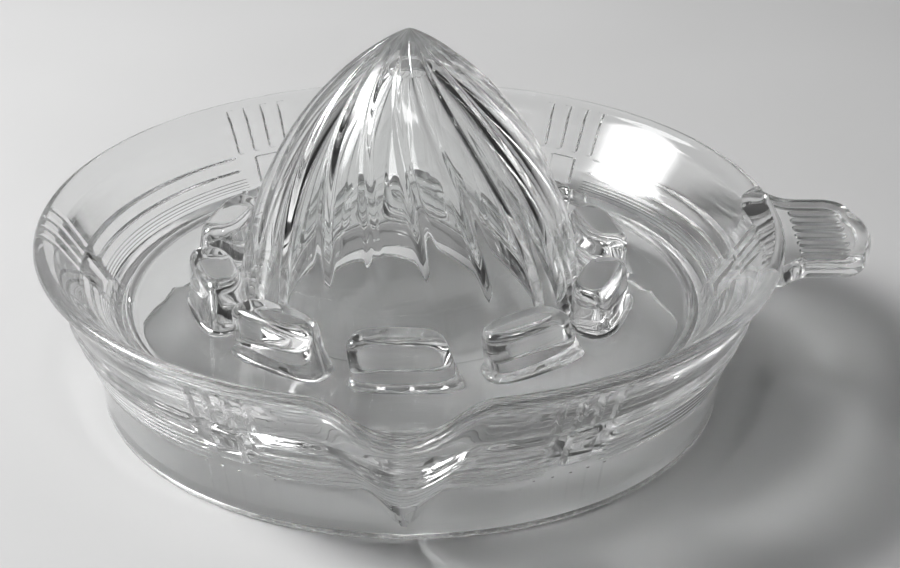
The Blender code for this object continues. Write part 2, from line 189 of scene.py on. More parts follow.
class Wiring:
    """A node tree that is wired up call by call."""

    def __init__(self, tree: bpy.types.NodeTree) -> None:
        """Takes up the tree that the calls add to."""
        self.tree = tree

    def node(self, kind: str, inputs: Inputs | None = None, **settings: object) -> bpy.types.Node:
        """Adds a node.

        Args:
            kind: The node's type.
            inputs: Sockets or values for its named inputs.
            settings: Its properties.

        Returns:
            The node.
        """
        made = self.tree.nodes.new(kind)
        for key, value in settings.items():
            setattr(made, key, value)
        self.fill(made, inputs or {})
        return made

    def fill(self, node: bpy.types.Node, inputs: Inputs) -> None:
        """Feeds a node's named inputs with sockets or values."""
        for name, value in inputs.items():
            self.feed(node.inputs[name], value)

    def feed(self, socket: Socket, value: object) -> None:
        """Links a socket to another, or sets its constant.

        Args:
            socket: The input.
            value: The output that it is linked to, or its value.
        """
        if isinstance(value, Socket):
            self.tree.links.new(value, socket)
        else:
            socket.default_value = value

    def fed(self, kind: str, *values: object, **settings: object) -> Socket:
        """Adds a node, feeds its inputs in order and gives its first output.

        Args:
            kind: The node's type.
            values: Sockets or values for its first inputs.
            settings: Its properties.

        Returns:
            The node's first output.
        """
        made = self.node(kind, **settings)
        for socket, value in zip(made.inputs, values):
            self.feed(socket, value)
        return made.outputs[0]

    def math(self, operation: str, *values: object) -> Socket:
        """Adds one Math node on sockets or numbers and gives its result."""
        return self.fed("ShaderNodeMath", *values, operation=operation)

    def vector(self, x: object, y: object, z: object) -> Socket:
        """Combines three numbers into a vector."""
        return self.fed("ShaderNodeCombineXYZ", x, y, z)

    def split(self, source: Socket) -> list[Socket]:
        """Splits a vector into its three numbers."""
        return list(self.fed("ShaderNodeSeparateXYZ", source).node.outputs)

    def noise(self, place: Socket, scale: float, detail: float) -> Socket:
        """Adds a noise pattern on the given coordinates and gives its value, from 0 to 1."""
        inputs = {"Vector": place, "Scale": scale, "Detail": detail}
        return self.node("ShaderNodeTexNoise", inputs).outputs["Fac"]

    def ramp(
        self, source: Socket, start: float, end: object,
        low: float = 0.0, high: float = 1.0, way: str = "SMOOTHSTEP",
    ) -> Socket:
        """Maps a number from start to end onto low to high and holds the result at both ends."""
        ends = {"From Min": start, "From Max": end, "To Min": low, "To Max": high, "Value": source}
        return self.node("ShaderNodeMapRange", ends, interpolation_type=way).outputs["Result"]


class ShapeTree(Wiring):
    """A Geometry Nodes tree with a geometry input and a geometry output."""

    def __init__(self, name: str) -> None:
        """Makes a tree of that name with its geometry input and output.

        Args:
            name: Name of the node group.
        """
        super().__init__(bpy.data.node_groups.new(name, "GeometryNodeTree"))
        for way in ("INPUT", "OUTPUT"):
            self.add_socket("Geometry", way, "Geometry")
        self.source = self.node("NodeGroupInput")
        self.sink = self.node("NodeGroupOutput")

    def add_socket(self, name: str, way: str, kind: str) -> None:
        """Adds one input or output of a kind to the tree."""
        interface = self.tree.interface
        interface.new_socket(name=name, in_out=way, socket_type=f"NodeSocket{kind}")

    def add_inputs(self, *names: str, kind: str = "Float") -> list[Socket]:
        """Adds named inputs and gives the sockets that carry them inside the tree.

        Args:
            names: The inputs' names.
            kind: Their type.

        Returns:
            The sockets, in the names' order.
        """
        for name in names:
            self.add_socket(name, "INPUT", kind)
        return [self.source.outputs[name] for name in names]

    def copies(self, points: Socket, rotation: object = (0.0, 0.0, 0.0)) -> Socket:
        """Sets a turned copy of the incoming form on each point."""
        form = {"Instance": self.source.outputs["Geometry"], "Points": points, "Rotation": rotation}
        return self.node("GeometryNodeInstanceOnPoints", form).outputs["Instances"]

    def finish(self, geometry: Socket) -> bpy.types.NodeTree:
        """Ends the tree in Realize Instances and Set Material, with the material as its last input.

        Args:
            geometry: The finished geometry.

        Returns:
            The node group.
        """
        material, = self.add_inputs("Glass", kind="Material")
        plain = self.fed("GeometryNodeRealizeInstances", geometry)
        dress = self.node("GeometryNodeSetMaterial", {"Geometry": plain, "Material": material})
        self.fill(self.sink, {"Geometry": dress.outputs["Geometry"]})
        return self.tree


def run_tree(item: Item, tree: bpy.types.NodeTree, values: dict[str, object]) -> None:
    """Runs a tree on an object and keeps the result as its plain mesh.

    Args:
        item: The object whose mesh goes in and whose mesh the result becomes.
        tree: The node group.
        values: Values of the tree's named inputs.
    """
    modifier = item.modifiers.new(tree.name, "NODES")
    modifier.node_group = tree
    for socket in tree.interface.items_tree:
        if socket.item_type == "SOCKET" and socket.in_out == "INPUT" and socket.name in values:
            modifier[socket.identifier] = values[socket.name]
    item.update_tag()
    bake_modifiers(item)


def flute_tree() -> bpy.types.NodeTree:
    """Presses twisted facets with ridges between them into the rows that "cone" marks.

    Returns:
        The node group.
    """
    shape = ShapeTree("press_flutes")
    flutes, = shape.add_inputs("Flutes", kind="Int")
    hollowing, ridge, share = shape.add_inputs("Hollowing", "Ridge Height", "Ridge Share")
    fade, phase, twist = shape.add_inputs("Fade Radius", "Phase", "Twist")
    floor, tip = shape.add_inputs("Floor Height", "Tip Height")

    x, y, z = shape.split(shape.node("GeometryNodeInputPosition").outputs[0])
    mark = shape.node("GeometryNodeInputNamedAttribute", {"Name": "cone"}, data_type="FLOAT")
    cone = mark.outputs["Attribute"]

    angle = shape.math("ARCTAN2", y, x)
    radius = shape.math("SQRT", shape.math("MULTIPLY_ADD", x, x, shape.math("MULTIPLY", y, y)))
    turned = shape.math("SUBTRACT", angle, phase)
    turns = shape.math("DIVIDE", shape.math("MULTIPLY", turned, flutes), math.tau)
    across = shape.math("MULTIPLY_ADD", shape.math("FRACT", turns), 2.0, -1.0)
    half = shape.math("DIVIDE", math.pi, flutes)
    aslant = shape.math("COSINE", shape.math("MULTIPLY", across, half))
    flat = shape.math("DIVIDE", shape.math("COSINE", half), aslant)
    facet = shape.math("MULTIPLY", radius, shape.math("SUBTRACT", 1.0, flat))
    aside = shape.math("DIVIDE", shape.math("SUBTRACT", 1.0, shape.math("ABSOLUTE", across)), share)
    near = shape.math("MINIMUM", aside, 1.0)
    below = shape.math("MULTIPLY", ridge, shape.math("POWER", near, 2.0))
    hollow = shape.math("SUBTRACT", 1.0, shape.math("MULTIPLY", across, across))
    scoop = shape.math("MULTIPLY", hollowing, hollow)
    depth = shape.math("ADD", shape.math("ADD", facet, scoop), below)

    felt = shape.math("MULTIPLY", cone, shape.ramp(radius, 0.0, fade))
    wide = shape.math("SUBTRACT", radius, shape.math("MULTIPLY", depth, felt))
    above = shape.math("SUBTRACT", z, floor)
    rise = shape.math("DIVIDE", above, shape.math("SUBTRACT", tip, floor))
    climb = shape.math("MULTIPLY", shape.math("MULTIPLY", rise, rise), cone)
    twisted = shape.math("ADD", angle, shape.math("MULTIPLY", twist, climb))
    x_new = shape.math("MULTIPLY", wide, shape.math("COSINE", twisted))
    y_new = shape.math("MULTIPLY", wide, shape.math("SINE", twisted))
    move = shape.node("GeometryNodeSetPosition", {
        "Geometry": shape.source.outputs["Geometry"],
        "Selection": shape.math("GREATER_THAN", cone, 0.0),
        "Position": shape.vector(x_new, y_new, z),
    })
    return shape.finish(move.outputs["Geometry"])


def round_tree() -> bpy.types.NodeTree:
    """Sets groups of a form around the axis, evenly but for those beside the lip.

    Returns:
        The node group.
    """
    shape = ShapeTree("set_around_the_axis")
    groups, members = shape.add_inputs("Groups", "Per Group", kind="Int")
    pitch, first = shape.add_inputs("Pitch", "First Azimuth")
    lip, shift = shape.add_inputs("Lip Azimuth", "Lip Shift")

    points = shape.fed("GeometryNodePoints", shape.math("MULTIPLY", groups, members))
    index = shape.node("GeometryNodeInputIndex").outputs[0]
    group = shape.math("FLOOR", shape.math("DIVIDE", shape.math("ADD", index, 0.5), members))
    member = shape.math("SUBTRACT", index, shape.math("MULTIPLY", group, members))
    middle = shape.math("DIVIDE", shape.math("SUBTRACT", members, 1.0), 2.0)
    spread = shape.math("MULTIPLY", shape.math("SUBTRACT", member, middle), pitch)
    turn = shape.math("DIVIDE", shape.math("MULTIPLY", group, math.tau), groups)
    even = shape.math("ADD", first, turn)
    away = shape.math("WRAP", shape.math("SUBTRACT", even, lip), math.pi, -math.pi)
    apart = shape.math("DIVIDE", math.tau, groups)
    beside = shape.math("LESS_THAN", shape.math("ABSOLUTE", away), apart)
    drawn = shape.math("MULTIPLY", shape.math("MULTIPLY", beside, shape.math("SIGN", away)), shift)
    azimuth = shape.math("ADD", shape.math("SUBTRACT", even, drawn), spread)
    rotation = shape.fed("FunctionNodeEulerToRotation", shape.vector(0.0, 0.0, azimuth))
    return shape.finish(shape.copies(points, rotation))


def row_tree() -> bpy.types.NodeTree:
    """Sets copies of a form side by side along Y, centred on it.

    Returns:
        The node group.
    """
    shape = ShapeTree("set_side_by_side")
    count, = shape.add_inputs("Count", kind="Int")
    spacing, = shape.add_inputs("Spacing")

    index = shape.node("GeometryNodeInputIndex").outputs[0]
    middle = shape.math("DIVIDE", shape.math("SUBTRACT", count, 1.0), 2.0)
    offset = shape.math("MULTIPLY", shape.math("SUBTRACT", index, middle), spacing)
    points = shape.fed("GeometryNodePoints", count, shape.vector(0.0, offset, 0.0))
    return shape.finish(shape.copies(points))


# Finishes


def new_material(name: str) -> tuple[Material, Wiring, Socket]:
    """Makes a material with a node tree.

    Args:
        name: The material's name.

    Returns:
        The material, its wiring and the object coordinates that its patterns lie on.
    """
    material = bpy.data.materials.new(name)
    material.use_nodes = True
    wiring = Wiring(material.node_tree)
    return material, wiring, wiring.node("ShaderNodeTexCoord").outputs["Object"]


@dataclass(frozen=True)
class PressedGlass:
    """Clear colourless glass with the soft waves of a mould and a little wear."""

    tint: Point = (0.985, 0.99, 0.988)
    refraction: float = 1.51
    wave_scale: float = 70.0
    wave_detail: float = 1.5
    wave_height: float = 0.05 * MM
    grain_scale: float = 900.0
    grain_detail: float = 3.0
    grain_start: float = 0.45
    grain_end: float = 0.8
    grain_haze: float = 0.06
    foot_haze: float = 0.25
    foot_wear_height: float = 1.2 * MM

    def build(self) -> Material:
        """Builds the material.

        Returns:
            The glass material.
        """
        material, wiring, place = new_material("pressed_glass")
        waves = wiring.noise(place, self.wave_scale, self.wave_detail)
        relief = {"Strength": 1.0, "Distance": self.wave_height, "Height": waves}
        bump = wiring.node("ShaderNodeBump", relief)
        grain = wiring.noise(place, self.grain_scale, self.grain_detail)
        haze = wiring.ramp(grain, self.grain_start, self.grain_end, 0.0, self.grain_haze, "LINEAR")
        height = wiring.split(place)[2]
        wear = wiring.ramp(height, 0.0, self.foot_wear_height, self.foot_haze, 0.0, "LINEAR")
        wiring.fill(material.node_tree.nodes["Principled BSDF"], {
            "Base Color": (*self.tint, 1.0),
            "IOR": self.refraction,
            "Transmission Weight": 1.0,
            "Roughness": wiring.math("ADD", haze, wear),
            "Normal": bump.outputs["Normal"],
        })
        return material


@dataclass(frozen=True)
class MattTable:
    """A pale matt tabletop with a faint unevenness."""

    pale: Point = (0.70, 0.70, 0.70)
    deep: Point = (0.66, 0.66, 0.66)
    pale_from: float = 0.65
    deep_to: float = 0.35
    patch_scale: float = 6.0
    patch_detail: float = 2.0
    roughness: float = 0.62
    gloss: float = 0.25

    def build(self) -> Material:
        """Builds the tabletop's material.

        Returns:
            The table material.
        """
        material, wiring, place = new_material("matt_table")
        patches = wiring.noise(place, self.patch_scale, self.patch_detail)
        tone = wiring.node("ShaderNodeValToRGB", {"Fac": patches})
        stops = ((self.deep_to, self.deep), (self.pale_from, self.pale))
        for stop, (position, colour) in zip(tone.color_ramp.elements, stops):
            stop.position = position
            stop.color = (*colour, 1.0)
        wiring.fill(material.node_tree.nodes["Principled BSDF"], {
            "Base Color": tone.outputs["Color"],
            "Roughness": self.roughness,
            "Specular IOR Level": self.gloss,
        })
        return material


# The pressing


@dataclass
class Cone:
    """The fluted ogive and the smooth hollow inside it."""

    radius: float = 35.8 * MM
    tip_height: float = 78.2 * MM
    lean: float = math.radians(4)
    tip_round: float = 0.9 * MM
    flutes: int = 18
    hollowing: float = 0.05 * MM
    ridge_height: float = 0.34 * MM
    ridge_share: float = 0.36
    flute_fade: float = 8.0 * MM
    phase: float = math.radians(-78)
    twist: float = math.radians(-33)
    hollow_radius: float = 30.5 * MM
    hollow_lean: float = math.radians(9)
    headroom: float = 8.7 * MM
    hollow_top: float = 2.0 * MM
    hollow_peak: float = 0.6
    hollow_dome: float = 0.9
    foot_fillet: float = 1.0 * MM
    mouth_fillet: float = 1.2 * MM
    edge_row: float = 0.5 * MM

    @staticmethod
    def ogive(base: float, low: float, high: float, lean: float) -> Point:
        """Gives the centre and radius of the arc from a base circle to the axis.

        Args:
            base: Radius at the base.
            low: Height of the base.
            high: Height where the arc meets the axis.
            lean: Angle of the wall at the base, inwards from upright.

        Returns:
            The centre's radius, the centre's height and the arc's radius.
        """
        rise = high - low
        arc = (base ** 2 + rise ** 2) / (2 * (base * math.cos(lean) - rise * math.sin(lean)))
        return base - arc * math.cos(lean), low - arc * math.sin(lean), arc

    def outer_rows(self, floor: float, count: int = 34) -> list[Row]:
        """The cone's outside from just under its tip down to its foot's fillet.

        Args:
            floor: Height of the dish floor.
            count: Number of rows above the fillet, closer together near the tip.

        Returns:
            The rows.
        """
        across, up, arc = self.ogive(self.radius, floor, self.tip_height, self.lean)
        rows = []
        for step in range(1, count):
            share = step / count
            radius = self.radius * (share ** 1.25 * 0.35 + share * 0.65)
            softened = math.hypot(radius, self.tip_round) - self.tip_round * (1 - share)
            reach = min(softened, self.radius) - across
            height = up + math.sqrt(max(arc ** 2 - reach ** 2, 0.0))
            rows.append(Row(radius, max(height, floor), cone=1.0))
        fillet = self.foot_fillet
        foot = ((0.0, 1.4, 1.0), (0.12, 0.6, 1.0), (0.45, 0.18, 0.9), (1.1, 0.0, 0.6))
        for out, rise, cone in foot:
            rows.append(Row(self.radius + fillet * out, floor + fillet * rise, cone=cone))
        rows.append(Row(rows[-1].radius + self.edge_row, floor, cone=0.6))
        return rows

    def hollow_rows(self, floor: float, under: float, count: int = 18) -> list[Row]:
        """The hollow from its mouth under the floor up to its domed top.

        Args:
            floor: Height of the dish floor.
            under: Height of the floor's underside.
            count: Number of rows up the hollow's wall.

        Returns:
            The rows.
        """
        top = self.tip_height - self.headroom
        peak = top + self.hollow_top * self.hollow_peak
        across, up, arc = self.ogive(self.hollow_radius, floor, peak, self.hollow_lean)
        fillet = self.mouth_fillet
        rows = [
            Row(self.hollow_radius + fillet + self.edge_row, under),
            Row(self.hollow_radius + fillet, under),
            Row(self.hollow_radius + fillet * 0.3, under + fillet * 0.3),
            Row(self.hollow_radius, under + fillet),
        ]
        dome = top - self.hollow_top * self.hollow_dome
        for step in range(count):
            height = floor + (dome - floor) * math.sin(QUARTER * step / (count - 1))
            rows.append(Row(across + math.sqrt(arc ** 2 - (height - up) ** 2), height))
        edge = rows[-1].radius
        for step in range(1, 9):
            turn = QUARTER * step / 9
            rows.append(Row(edge * math.cos(turn), dome + (top - dome) * math.sin(turn)))
        return rows


@dataclass
class Dish:
    """The footed dish with its bands, rim and pouring lip."""

    foot_radius: float = 65.2 * MM
    foot_thickness: float = 4.4 * MM
    foot_edge: float = 0.6 * MM
    skirt_height: float = 12.6 * MM
    skirt_lean: float = 2.1 * MM
    skirt_curve: float = 1.5
    floor_height: float = 21.5 * MM
    floor_thickness: float = 5.0 * MM
    rim_radius: float = 77.4 * MM
    rim_height: float = 36.2 * MM
    rim_sweep_height: float = 4.8 * MM
    rim_sweep_lean: float = 2.9 * MM
    rim_rounding: float = 1.4 * MM
    rim_edge_width: float = 1.3 * MM
    rim_roll: float = 3.2 * MM
    rim_width: float = 5.4 * MM
    trough_radius: float = 58.5 * MM
    trough_fillet: float = 8.0 * MM
    trough_slope: float = 50.0
    floor_rings: tuple[float, ...] = (17.0 * MM, 12.0 * MM, 7.0 * MM, 3.0 * MM)
    under_rings: tuple[float, ...] = (56.6 * MM, 48.0 * MM, 40.0 * MM)
    under_fillet: float = 3.5 * MM
    fine_beads: int = 4
    fine_pitch: float = 1.25 * MM
    fine_relief: float = 0.4 * MM
    bold_beads: int = 2
    bold_pitch: float = 3.2 * MM
    bold_relief: float = 0.7 * MM
    bead_curve: float = 1.3
    band_gap_half: float = math.radians(5.2)
    band_end: float = math.radians(0.6)
    band_margin: float = 0.3 * MM
    ornament_groups: int = 6
    ornament_lip_shift: float = math.radians(2.2)
    lip_azimuth: float = math.radians(-90)
    lip_half_angle: float = math.radians(13)
    lip_push: float = 9.4 * MM
    lip_dip: float = 1.6 * MM
    lip_start: float = 1.5
    keel_height: float = 3.0 * MM
    keel_share: float = 0.12
    keel_rise: float = 0.7

    @property
    def band_top(self) -> float:
        """Height of the top of the bands."""
        fine_top = self.skirt_height + self.fine_beads * self.fine_pitch
        return fine_top + self.bold_beads * self.bold_pitch

    @property
    def sweep_bottom(self) -> float:
        """Height at which the wall starts to sweep out to the rim."""
        return self.rim_height - self.rim_sweep_height

    @property
    def rim_edge_height(self) -> float:
        """Height of the rim's widest place."""
        return self.rim_height - self.rim_rounding

    @property
    def under_height(self) -> float:
        """Height of the floor's underside."""
        return self.floor_height - self.floor_thickness

    def flare_radius(self, height: float) -> float:
        """The plain outside radius between the skirt and the rim.

        Args:
            height: Height above the table.

        Returns:
            The radius.
        """
        skirt_top = self.foot_radius + self.skirt_lean
        share = (height - self.skirt_height) / (self.sweep_bottom - self.skirt_height)
        return skirt_top + share * (self.rim_radius - self.rim_sweep_lean - skirt_top)

    def outside_radius(self, height: float) -> float:
        """Outside radius of the wall: on the skirt, on the flare or on the sweep to the rim.

        Args:
            height: Height above the table.

        Returns:
            The radius.
        """
        if height < self.skirt_height:
            share = 1 - (self.skirt_height - height) / (self.skirt_height - self.foot_edge)
            return self.foot_radius + self.skirt_lean * clamp(share) ** self.skirt_curve
        if height < self.sweep_bottom:
            return self.flare_radius(height)
        run = self.flare_radius(self.rim_edge_height) - self.flare_radius(self.sweep_bottom)
        share = clamp((self.rim_edge_height - height) / (self.rim_edge_height - self.sweep_bottom))
        lean = run / self.rim_sweep_lean
        sweep = (3 - lean) * share ** 2 + (lean - 2) * share ** 3
        return self.rim_radius - self.rim_sweep_lean * sweep

    def inner_rows(self) -> list[Row]:
        """The floor, the trough's fillet and the inside of the wall, outwards and up.

        Returns:
            The rows.
        """
        rows = [Row(self.trough_radius - gap, self.floor_height) for gap in self.floor_rings]
        centre = (self.trough_radius, self.floor_height + self.trough_fillet)
        fillet = arc_places(centre, self.trough_fillet, -90, self.trough_slope - 90, 9)
        rows += [Row(*place, Reach.INSIDE) for place in fillet]
        low = rows[-1]
        rim_inner, rim_low = self.rim_radius - self.rim_width, self.rim_height - self.rim_roll
        for step in range(1, 8):
            share = step / 7
            radius = low.radius + (rim_inner - low.radius) * share
            rows.append(Row(radius, low.height + (rim_low - low.height) * share, Reach.INSIDE))
        return rows

    def rim_rows(self) -> list[Row]:
        """The rim: rolled outwards over its crest, then swept back into the outside of the wall.

        Returns:
            The rows.
        """
        low = Vector((self.rim_radius - self.rim_width, self.rim_height - self.rim_roll))
        run = self.rim_roll / math.tan(math.radians(self.trough_slope))
        bend = Vector((low.x + run, self.rim_height))
        crest = Vector((self.rim_radius - self.rim_edge_width, self.rim_height))
        rows = []
        for step in range(1, 13):
            share = step / 12
            place = low.lerp(bend, share).lerp(bend.lerp(crest, share), share)
            rows.append(Row(place.x, place.y, Reach.OUTSIDE))
        for step in range(1, 7):
            turn = QUARTER * (1 - step / 6)
            height = self.rim_height - self.rim_rounding * (1 - math.sin(turn))
            rows.append(Row(crest.x + self.rim_edge_width * math.cos(turn), height, Reach.OUTSIDE))
        drop = self.rim_edge_height - self.sweep_bottom
        for share in (0.12, 0.25, 0.38, 0.5, 0.62, 0.75, 0.88, 1.0):
            height = self.rim_edge_height - drop * share
            rows.append(Row(self.outside_radius(height), height, Reach.OUTSIDE))
        return rows

    def wall_rows(self) -> list[Row]:
        """The outside below the rim: the flare, the beads and the skirt, down to the foot.

        Returns:
            The rows.
        """
        rows = []
        drop = self.band_top + self.band_margin - self.sweep_bottom
        for step in range(1, 6):
            height = self.sweep_bottom + drop * step / 5
            rows.append(Row(self.flare_radius(height), height, Reach.OUTSIDE))
        top = self.band_top
        beads = [(self.bold_pitch, self.bold_relief, 8)] * self.bold_beads
        beads += [(self.fine_pitch, self.fine_relief, 6)] * self.fine_beads
        for pitch, relief, steps in beads:
            for step in range(steps):
                share = step / steps
                height = top - pitch * share
                bulge = relief * math.sin(math.pi * share) ** self.bead_curve if step else 0.0
                rows.append(Row(self.flare_radius(height), height, Reach.OUTSIDE, 0.0, bulge))
            top -= pitch
        for step in range(8):
            height = self.skirt_height - (self.skirt_height - self.foot_edge) * step / 7
            rows.append(Row(self.outside_radius(height), height, Reach.OUTSIDE))
        return rows

    def under_rows(self) -> list[Row]:
        """The foot's face and the hollow under the floor, inwards to the cone's mouth.

        Returns:
            The rows.
        """
        inner = self.foot_radius - self.foot_thickness
        edge = self.foot_edge
        rows = [
            Row(self.foot_radius - 0.3 * edge, 0.3 * edge),
            Row(self.foot_radius - edge, 0.0),
            Row(inner + edge, 0.0),
            Row(inner + 0.3 * edge, 0.3 * edge),
            Row(inner, edge),
            Row(inner, (self.under_height - self.under_fillet) / 2),
        ]
        centre = (inner - self.under_fillet, self.under_height - self.under_fillet)
        rows += [Row(*place) for place in arc_places(centre, self.under_fillet, 0, 90, 6)]
        return rows + [Row(radius, self.under_height) for radius in self.under_rings]

    def lip_share(self, azimuth: float, height: float) -> float:
        """How much of the lip's bulge is felt at a place.

        Args:
            azimuth: Direction from the axis.
            height: Height above the table.

        Returns:
            The share, from 0 to 1.
        """
        climb = clamp((height - self.keel_height) / (self.band_top - self.keel_height))
        half = self.lip_half_angle * (self.keel_share + (1 - self.keel_share) * climb)
        away = abs(math.remainder(azimuth - self.lip_azimuth, math.tau))
        if away >= half:
            return 0.0
        return climb ** self.keel_rise * math.cos(QUARTER * away / half) ** 2

    def ornament_azimuths(self) -> list[float]:
        """Azimuths of the rib groups: even, but for the pair that stands closer to the lip.

        Returns:
            The azimuths of the groups' middles.
        """
        azimuths = []
        for group in range(self.ornament_groups):
            middle = math.tau * group / self.ornament_groups
            away = math.remainder(middle - self.lip_azimuth, math.tau)
            if abs(away) < math.tau / self.ornament_groups:
                middle -= math.copysign(self.ornament_lip_shift, away)
            azimuths.append(middle)
        return azimuths

    def band_share(self, azimuth: float) -> float:
        """How much of the bands' relief is felt at an azimuth: none in the gap around a panel."""
        away = min(abs(math.remainder(azimuth - a, math.tau)) for a in self.ornament_azimuths())
        return smoothstep((away - self.band_gap_half) / self.band_end)

    def placed(self, row: Row, azimuth: float) -> Place:
        """Gives a row's radius and height at an azimuth, with the bands' gaps and the pouring lip.

        Args:
            row: The outline's row.
            azimuth: Direction from the axis.

        Returns:
            The radius and height.
        """
        if row.reach is Reach.NONE:
            return row.radius, row.height
        radius = row.radius + (row.relief * self.band_share(azimuth) if row.relief else 0.0)
        share = self.lip_share(azimuth, row.height)
        if row.reach is Reach.INSIDE:
            depth = self.rim_height - self.floor_height
            share *= smoothstep(self.lip_start * (row.height - self.floor_height) / depth)
        above = clamp((row.height - self.band_top) / (self.rim_height - self.band_top))
        return radius + self.lip_push * share, row.height - self.lip_dip * share * above


@dataclass
class SeedLugs:
    """The ring of blocks around the cone that hold back seeds."""

    count: int = 10
    azimuth: float = math.radians(-90)
    clearance: float = 0.2 * MM
    depth: float = 10.0 * MM
    height: float = 9.8 * MM
    half_angle: float = math.radians(14.2)
    top_half_angle: float = math.radians(13.0)
    top_shift: float = math.radians(-2.8)
    draft: float = 0.5 * MM
    rounding: float = 2.3 * MM
    squareness: float = 3.0
    foot_fillet: float = 1.4 * MM
    sink: float = 0.9 * MM
    crown: Place = (0.02 * MM, 0.6 * MM)
    points: int = 56

    def outline(self, level: Point, cone: Cone, dish: Dish) -> list[Point]:
        """One level outline of a lug on the +X side.

        Args:
            level: Height above the dish floor, how far the outline stands in from the lug's
                flanks, and the share of the draft and of the sideways shift at this height.
            cone: The cone that the lug stands around.
            dish: The dish that it stands on.

        Returns:
            The outline's points.
        """
        height, inset, lean = level
        inner = cone.radius + self.clearance + self.draft * lean + inset
        outer = cone.radius + self.clearance + self.depth - self.draft * lean - inset
        middle, reach = (inner + outer) / 2, (outer - inner) / 2
        half = self.half_angle + lean * (self.top_half_angle - self.half_angle) - inset / middle
        power = 2 / self.squareness
        points = []
        for step in range(self.points):
            turn = math.tau * step / self.points
            across = math.copysign(abs(math.cos(turn)) ** power, math.cos(turn))
            along = math.copysign(abs(math.sin(turn)) ** power, math.sin(turn))
            out = middle + reach * across
            side = out * math.tan(self.top_shift * lean + half * along)
            points.append((out, side, dish.floor_height + height))
        return points

    def levels(self) -> list[Point]:
        """Height, inset and lean of each level, from inside the floor up over the rounded top.

        Returns:
            The levels.
        """
        levels = [(-self.sink, -self.foot_fillet, 0.0)]
        for step in range(5):
            turn = QUARTER * step / 4
            rise, inset = 1 - math.cos(turn), math.sin(turn) - 1
            levels.append((self.foot_fillet * rise, self.foot_fillet * inset, 0.0))
        shoulder = self.height - self.rounding
        for share in (0.35, 0.7, 1.0):
            height = self.foot_fillet + (shoulder - self.foot_fillet) * share
            levels.append((height, 0.0, height / self.height))
        for step in range(1, 9):
            turn = QUARTER * step / 8
            height = shoulder + self.rounding * math.sin(turn)
            levels.append((height, self.rounding * (1 - math.cos(turn)), height / self.height))
        levels.append((self.height + self.crown[0], self.rounding + self.crown[1], 1.0))
        return levels

    def build(self, cone: Cone, dish: Dish, glass: Material) -> Item:
        """Builds one lug and sets its copies around the cone.

        Args:
            cone: The cone that the lugs stand around.
            dish: The dish that they stand on.
            glass: Their material.

        Returns:
            The ring of lugs, still a separate body.
        """
        lugs = stacked("seed_lugs", [self.outline(level, cone, dish) for level in self.levels()])
        run_tree(lugs, round_tree(), {
            "Groups": self.count, "Per Group": 1, "Pitch": 0.0, "First Azimuth": self.azimuth,
            "Lip Azimuth": dish.lip_azimuth, "Lip Shift": 0.0, "Glass": glass,
        })
        return lugs


class Bar(NamedTuple):
    """One kind of low upright bar on the outside of the wall."""

    name: str
    members: int
    width: float
    relief: float
    bottom_gap: float
    top_gap: float


@dataclass
class Ornament:
    """Rib groups under the rim, plain panels over the bands and faint ribs on the skirt."""

    ribs: Bar = Bar("wall_ribs", 4, 2.4 * MM, 0.6 * MM, 0.1 * MM, 2.7 * MM)
    panels: Bar = Bar("wall_panels", 1, 6.9 * MM, 1.0 * MM, 2.0 * MM, 1.2 * MM)
    faint_ribs: Bar = Bar("skirt_ribs", 5, 1.4 * MM, 0.22 * MM, 4.0 * MM, 0.8 * MM)
    pitch: float = math.radians(3.3)
    shoulder: float = 0.9 * MM
    flank_curve: float = 1.6
    end_slope: float = 0.7 * MM
    end_share: float = 0.35
    end_step: Place = (0.3, 0.72)
    sink: float = 0.7 * MM
    skin: float = 0.05 * MM

    def form(self, bar: Bar, dish: Dish, low: float, high: float) -> Item:
        """Makes one bar on the +X side, with a softly rounded section and sloping ends.

        Args:
            bar: The kind of bar.
            dish: The dish whose wall carries it.
            low: Height that its bottom gap starts from.
            high: Height that its top gap goes down from.

        Returns:
            The bar's body.
        """
        width, low, high = bar.width, low + bar.bottom_gap, high - bar.top_gap
        ease = min(self.end_share * width, self.end_slope)
        reach = high - low - 2 * ease
        step_up, step_share = self.end_step[0] * ease, self.end_step[1]
        stops = [(low, 0.0), (low + step_up, step_share)]
        stops += [(low + ease + reach * step / 6, 1.0) for step in range(7)]
        stops += [(high - step_up, step_share), (high, 0.0)]
        shoulder = min(0.5, self.shoulder / width)
        flank = []
        for step in range(6):
            rise = math.sin(QUARTER * step / 5) ** self.flank_curve
            flank.append((-0.5 + shoulder * step / 5, rise))
        section = flank + [(-across, out) for across, out in reversed(flank) if across < 0]
        outlines = []
        for height, share in stops:
            wall = dish.outside_radius(height)
            outline = [(wall - self.sink, -width / 2, height)]
            for across, out in section:
                face = wall + (bar.relief * out * share if share else -self.skin)
                face = min(face, dish.rim_radius - self.skin)
                outline.append((face, width * across, height))
            outlines.append(outline + [(wall - self.sink, width / 2, height)])
        return stacked(bar.name, outlines)

    def build(self, dish: Dish, glass: Material) -> list[Item]:
        """Builds the ribs, the panels and the faint skirt ribs around the wall.

        Args:
            dish: The dish that carries them.
            glass: Their material.

        Returns:
            Three separate bodies to be fused with the dish.
        """
        bodies = []
        for bar, low, high in (
            (self.ribs, dish.band_top, dish.rim_height),
            (self.panels, dish.skirt_height, dish.band_top),
            (self.faint_ribs, 0.0, dish.skirt_height),
        ):
            bodies.append(self.form(bar, dish, low, high))
            run_tree(bodies[-1], round_tree(), {
                "Groups": dish.ornament_groups, "Per Group": bar.members, "Pitch": self.pitch,
                "First Azimuth": 0.0, "Lip Azimuth": dish.lip_azimuth,
                "Lip Shift": dish.ornament_lip_shift, "Glass": glass,
            })
        return bodies


